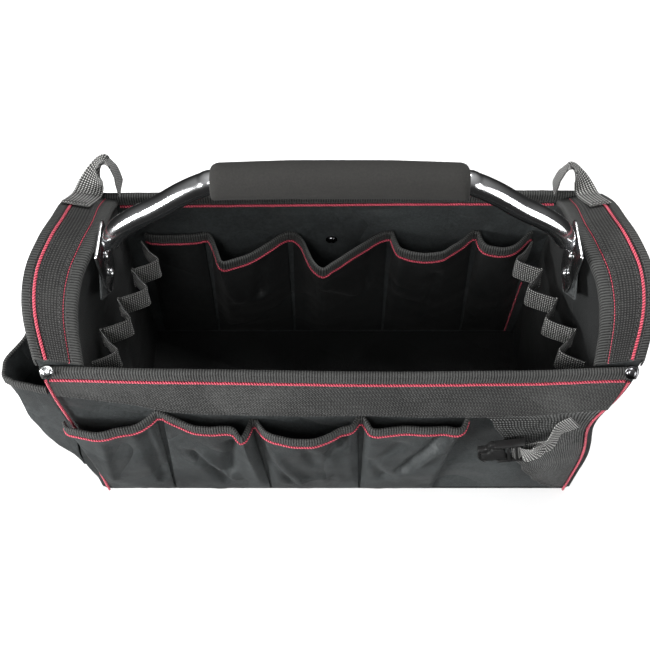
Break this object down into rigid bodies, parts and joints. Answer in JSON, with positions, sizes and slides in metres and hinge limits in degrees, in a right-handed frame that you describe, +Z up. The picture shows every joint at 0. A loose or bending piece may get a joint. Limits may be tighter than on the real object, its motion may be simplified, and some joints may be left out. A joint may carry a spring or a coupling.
{
  "type": "open top tool tote",
  "caption": "Soft open top tool bag with stiff arched end walls, patch pockets inside and out, webbing tool loops and a fixed tubular carry handle with a foam grip.",
  "frame": {"origin": "middle of the flat underside of the base panel", "axes": "+X along the length to the right seen from the front, +Y to the back, +Z up; the front wall with the buckle faces -Y"},
  "size_m": [0.5547, 0.2386, 0.3881],
  "materials": {
    "woven_cloth": "matte coated woven polyester",
    "webbing": "matte twill webbing",
    "binding_tape": "matte ribbed tape",
    "red_piping": "matte corded piping",
    "foam": "matte closed cell foam",
    "polished_steel": "bright chrome plate",
    "plated_steel": "bright plated steel",
    "buckle_plastic": "moulded plastic"
  },
  "bodies": {
    "root": {"base_panel": "woven_cloth", "front_wall": "woven_cloth", "back_wall": "woven_cloth", "left_end_wall": "woven_cloth", "right_end_wall": "woven_cloth", "left_rim_webbing": "webbing", "left_rim_outer_piping": "red_piping", "left_rim_inner_piping": "red_piping", "left_rim_outer_binding": "binding_tape", "left_rim_inner_binding": "binding_tape", "right_rim_webbing": "webbing", "right_rim_outer_piping": "red_piping", "right_rim_inner_piping": "red_piping", "right_rim_outer_binding": "binding_tape", "right_rim_inner_binding": "binding_tape", "front_rim_binding": "binding_tape", "back_rim_binding": "binding_tape", "front_piping": "red_piping", "back_piping": "red_piping", "front_webbing_band": "webbing", "front_left_corner_piping": "red_piping", "back_left_corner_piping": "red_piping", "front_right_corner_piping": "red_piping", "back_right_corner_piping": "red_piping", "front_pocket_1": "woven_cloth", "front_pocket_2": "woven_cloth", "front_pocket_3": "woven_cloth", "front_pocket_4": "woven_cloth", "front_pocket_binding": "binding_tape", "front_pocket_piping": "red_piping", "inner_pocket_1": "woven_cloth", "inner_pocket_2": "woven_cloth", "inner_pocket_3": "woven_cloth", "inner_pocket_4": "woven_cloth", "inner_pocket_5": "woven_cloth", "inner_pocket_binding": "binding_tape", "inner_pocket_piping": "red_piping", "side_pocket": "woven_cloth", "side_pocket_binding": "binding_tape", "holster_panel": "webbing", "side_release_buckle": "buckle_plastic", "buckle_strap": "webbing", "left_loop_chain": "webbing", "right_loop_chain": "webbing", "left_back_tab": "webbing", "right_back_tab": "webbing", "handle_tube": "polished_steel", "foam_grip": "foam", "left_handle_patch": "woven_cloth", "left_handle_bracket": "plated_steel", "left_bracket_rivet_1": "plated_steel", "left_bracket_rivet_2": "plated_steel", "right_handle_patch": "woven_cloth", "right_handle_bracket": "plated_steel", "right_bracket_rivet_1": "plated_steel", "right_bracket_rivet_2": "plated_steel", "left_corner_snap": "plated_steel", "right_corner_snap": "plated_steel", "inner_wall_snap": "plated_steel"}
  },
  "joints": []
}
